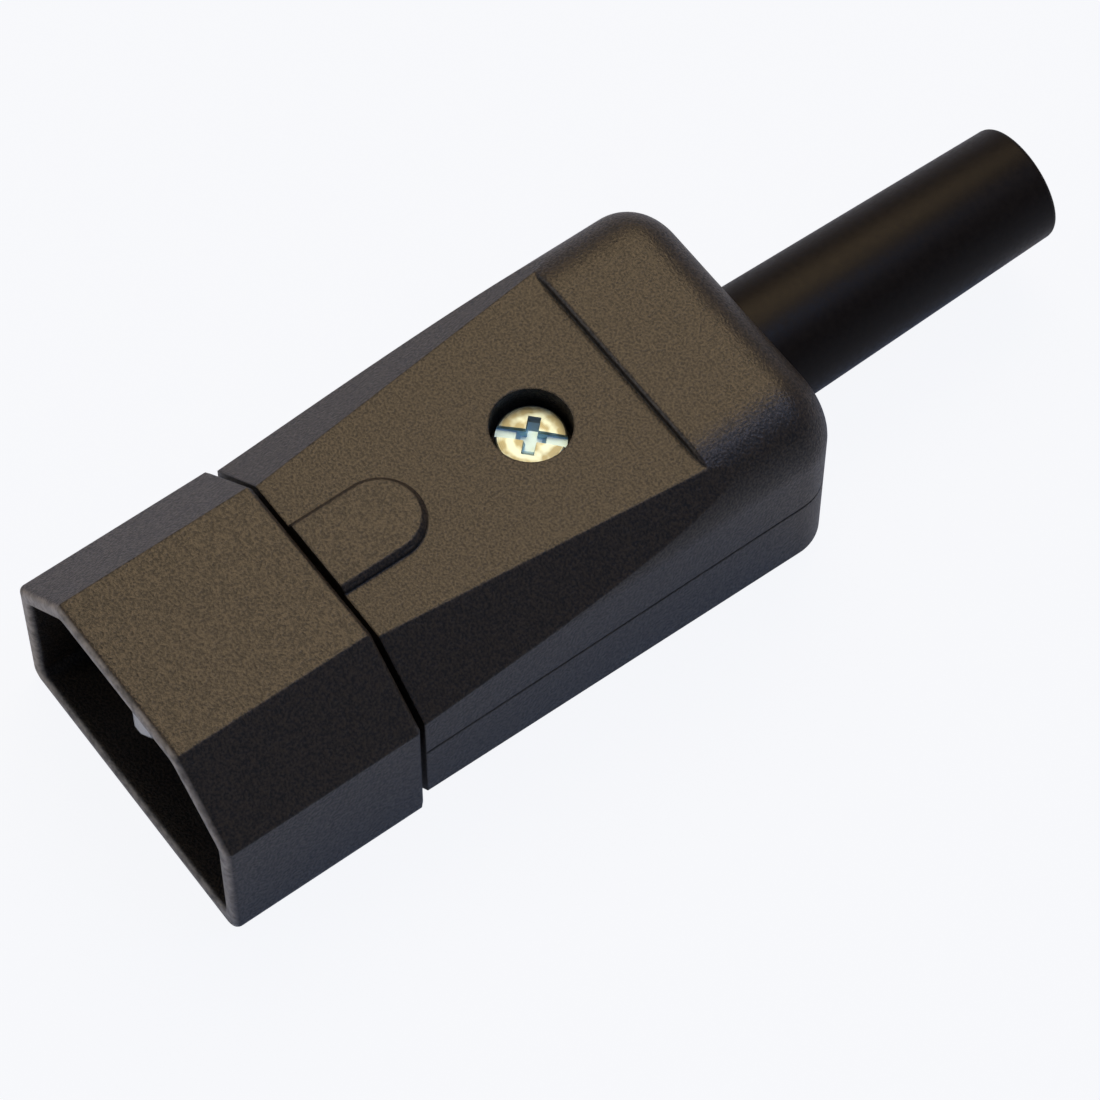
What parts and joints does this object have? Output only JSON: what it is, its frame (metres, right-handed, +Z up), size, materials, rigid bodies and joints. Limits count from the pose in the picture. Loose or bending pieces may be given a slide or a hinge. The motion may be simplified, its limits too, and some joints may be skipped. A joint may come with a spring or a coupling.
{
  "type": "rewireable appliance plug",
  "caption": "Rewireable in-line appliance plug: bevelled shroud around flat contact pins, split faceted housing closed by a screw, and a tapered strain relief sleeve.",
  "frame": {"origin": "centre of the plug's bounding box in plan, on the surface it lies on", "axes": "+Y from the rim of the shroud to the end of the sleeve, so the plug mates towards -Y; +Z up, through the side with the bevels and the screw; +X to the side of the line pin"},
  "size_m": [0.028, 0.0864, 0.0194],
  "materials": {
    "housing_plastic": "black moulding with a fine matt texture",
    "sleeve_rubber": "smooth soft black",
    "contact_metal": "nickel-plated, bright",
    "zinc_plated_steel": "bright zinc plating with a faint yellow tint"
  },
  "bodies": {
    "root": {"contact_carrier": "housing_plastic", "upper_shell": "housing_plastic", "lower_shell": "housing_plastic", "cable_clamp": "housing_plastic", "cable_sleeve": "sleeve_rubber", "line_pin": "contact_metal", "neutral_pin": "contact_metal", "earth_pin": "contact_metal", "housing_screw": "zinc_plated_steel", "housing_nut": "zinc_plated_steel", "clamp_screw_left": "zinc_plated_steel", "clamp_screw_right": "zinc_plated_steel", "line_terminal_screw": "zinc_plated_steel", "neutral_terminal_screw": "zinc_plated_steel", "earth_terminal_screw": "zinc_plated_steel"}
  },
  "joints": []
}
